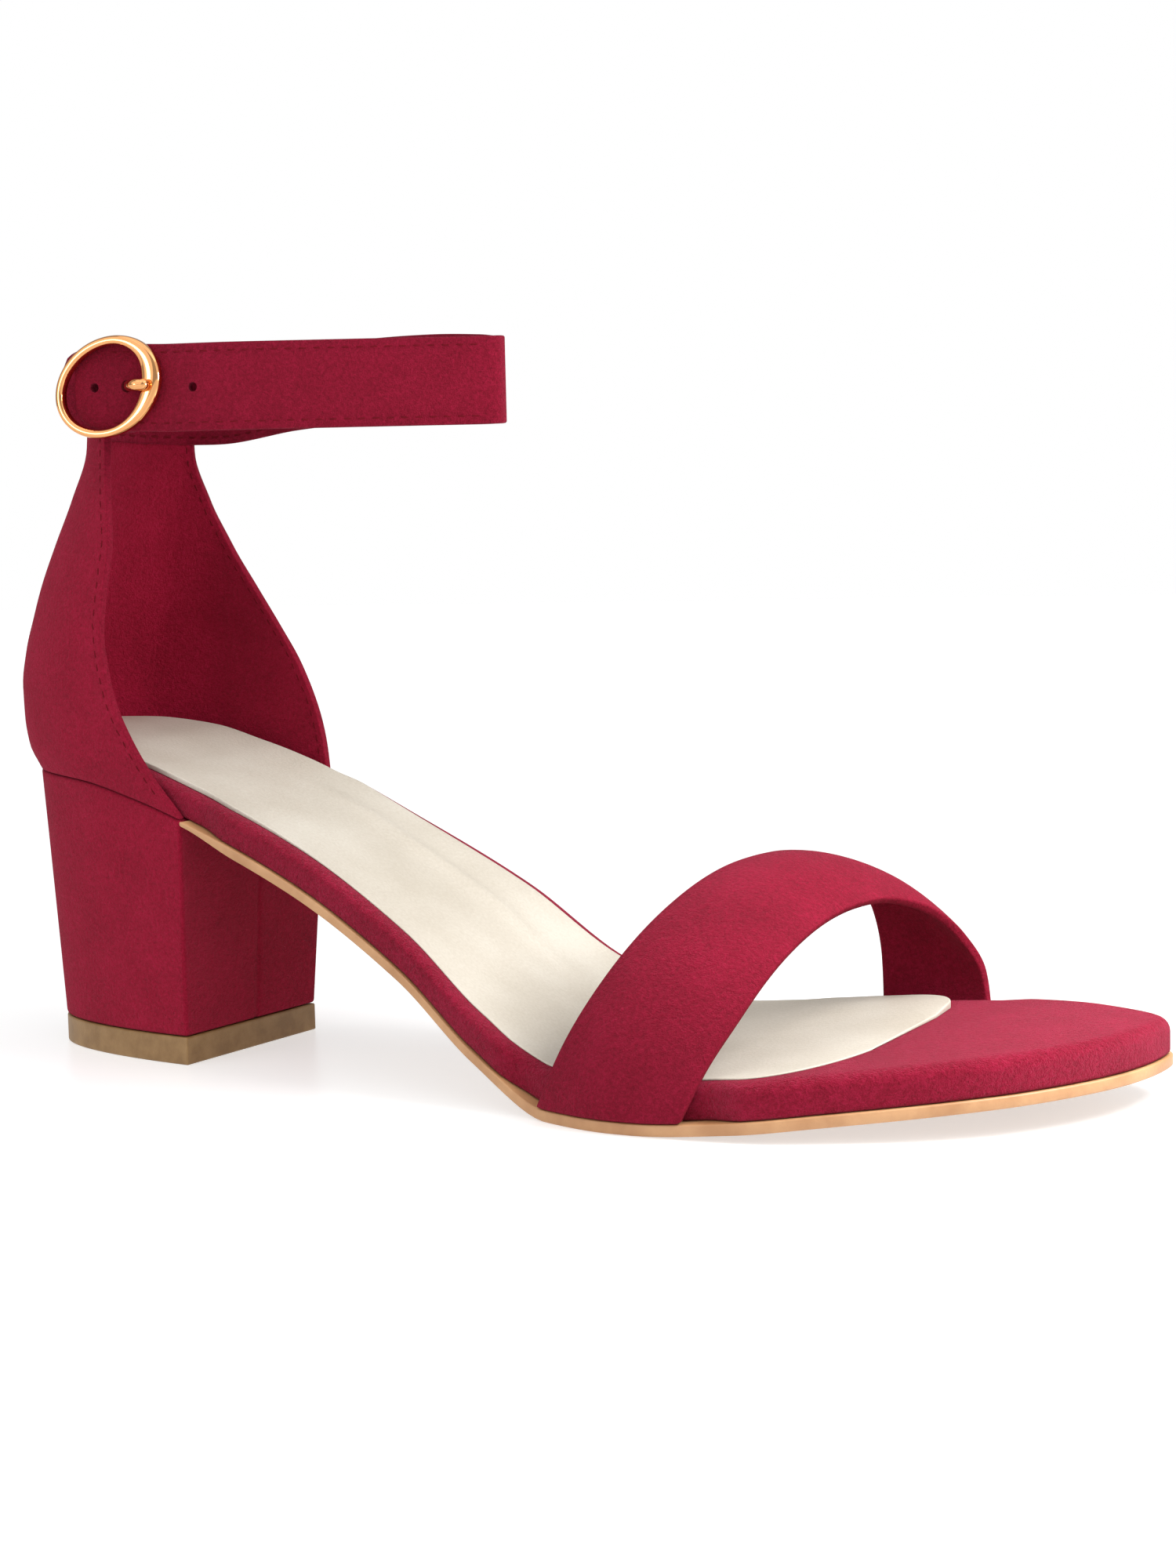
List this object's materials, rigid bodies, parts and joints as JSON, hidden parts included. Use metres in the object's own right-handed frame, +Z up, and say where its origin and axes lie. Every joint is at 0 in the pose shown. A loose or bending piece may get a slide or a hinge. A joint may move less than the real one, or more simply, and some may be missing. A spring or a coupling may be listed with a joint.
{
  "type": "block heel sandal",
  "caption": "Open-toe sandal with a slanted toe band, closed counter, buckled ankle strap and a covered block heel.",
  "frame": {"origin": "middle of the heel's underside, on the floor the shoe stands on", "axes": "+X runs from the heel to the toe, +Y to the inner side of the foot, +Z up from the floor"},
  "size_m": [0.232, 0.0851, 0.141],
  "materials": {
    "suede": "crimson synthetic suede, matt with a short nap",
    "sock": "cream smooth lining leather, satin",
    "outsole_tan": "tan resin sole sheet, smooth",
    "rubber": "brown rubber, matt",
    "gold": "polished light gold plating"
  },
  "bodies": {
    "root": {"outsole": "outsole_tan", "platform": "suede", "insole": "sock", "heel_block": "suede", "top_piece": "rubber", "heel_upper": "suede", "toe_band": "suede", "buckle_frame": "gold", "buckle_prong": "gold"}
  },
  "joints": []
}
